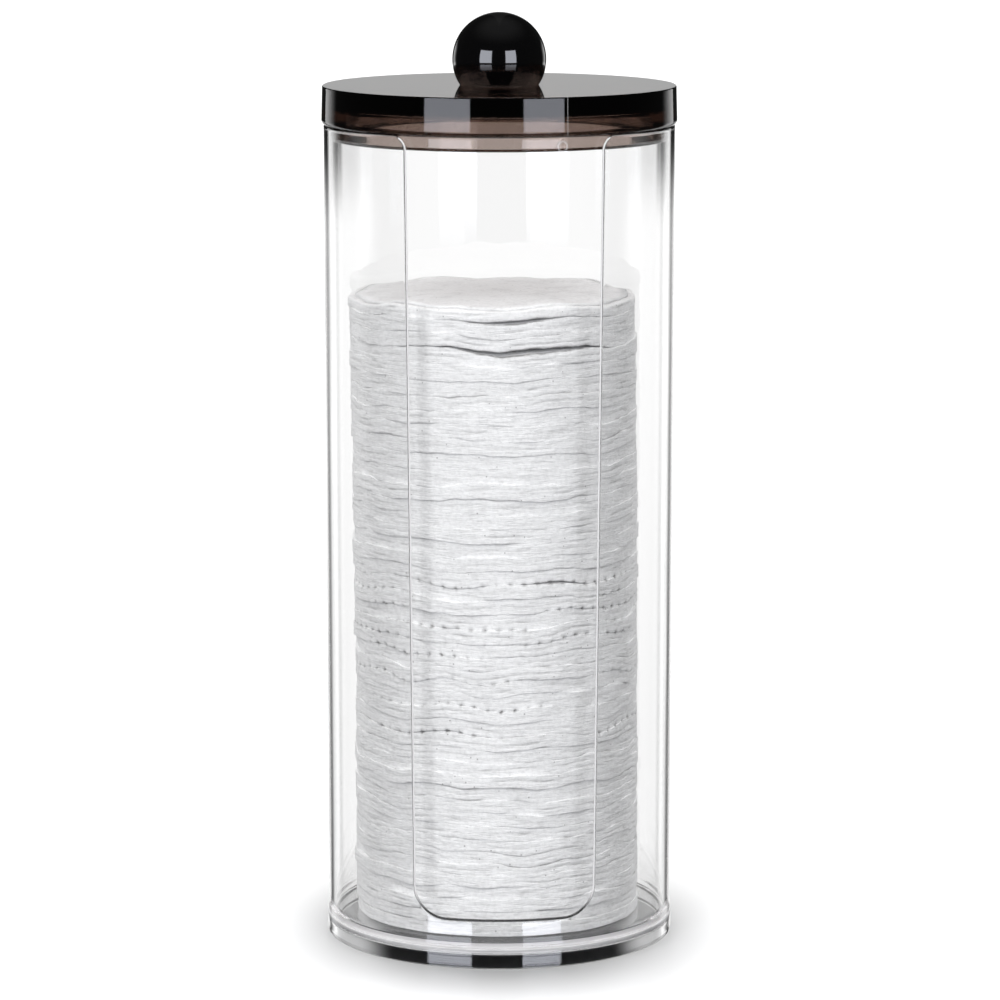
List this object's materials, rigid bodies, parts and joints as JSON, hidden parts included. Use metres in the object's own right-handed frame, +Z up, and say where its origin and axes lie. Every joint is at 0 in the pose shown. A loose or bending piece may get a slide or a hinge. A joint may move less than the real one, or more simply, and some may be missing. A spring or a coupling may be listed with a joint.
{
  "type": "cotton pad holder",
  "caption": "Clear round upright holder for cotton pads, open at the front through a tall slot, with a lift-off smoked lid, a ball knob and a stack of pads inside.",
  "frame": {"origin": "middle of the underside, on the surface that the foot stands on", "axes": "+Z up along the tube; the slot faces -Y; +X to the right seen from the slot"},
  "size_m": [0.0724, 0.0724, 0.1901],
  "materials": {
    "clear_plastic": "clear moulded styrene, polished",
    "clear_base_plastic": "clear moulded styrene, polished",
    "smoked_plastic": "smoked grey-brown see-through styrene, polished",
    "black_gloss_plastic": "glossy black",
    "cotton": "pressed cotton wool, matt white"
  },
  "bodies": {
    "holder": {"clear_tube": "clear_plastic", "base": "clear_base_plastic"},
    "lid": {"lid": "smoked_plastic", "knob": "black_gloss_plastic"},
    "pad_stack": {"pad_01": "cotton", "pad_02": "cotton", "pad_03": "cotton", "pad_04": "cotton", "pad_05": "cotton", "pad_06": "cotton", "pad_07": "cotton", "pad_08": "cotton", "pad_09": "cotton", "pad_10": "cotton", "pad_11": "cotton", "pad_12": "cotton", "pad_13": "cotton", "pad_14": "cotton", "pad_15": "cotton", "pad_16": "cotton", "pad_17": "cotton", "pad_18": "cotton", "pad_19": "cotton", "pad_20": "cotton", "pad_21": "cotton", "pad_22": "cotton", "pad_23": "cotton", "pad_24": "cotton", "pad_25": "cotton", "pad_26": "cotton", "pad_27": "cotton", "pad_28": "cotton", "pad_29": "cotton", "pad_30": "cotton", "pad_31": "cotton", "pad_32": "cotton", "pad_33": "cotton", "pad_34": "cotton", "pad_35": "cotton", "pad_36": "cotton", "pad_37": "cotton", "pad_38": "cotton", "pad_39": "cotton", "pad_40": "cotton", "pad_41": "cotton", "pad_42": "cotton", "pad_43": "cotton", "pad_44": "cotton", "pad_45": "cotton", "pad_46": "cotton"}
  },
  "joints": [
    {"name": "lid_lift", "type": "slide", "parent": "holder", "child": "lid", "axis": [0, 0, 1], "range_m": [0, 0.06]},
    {"name": "pads_lift", "type": "slide", "parent": "holder", "child": "pad_stack", "axis": [0, 0, 1], "range_m": [0, 0.029]}
  ]
}
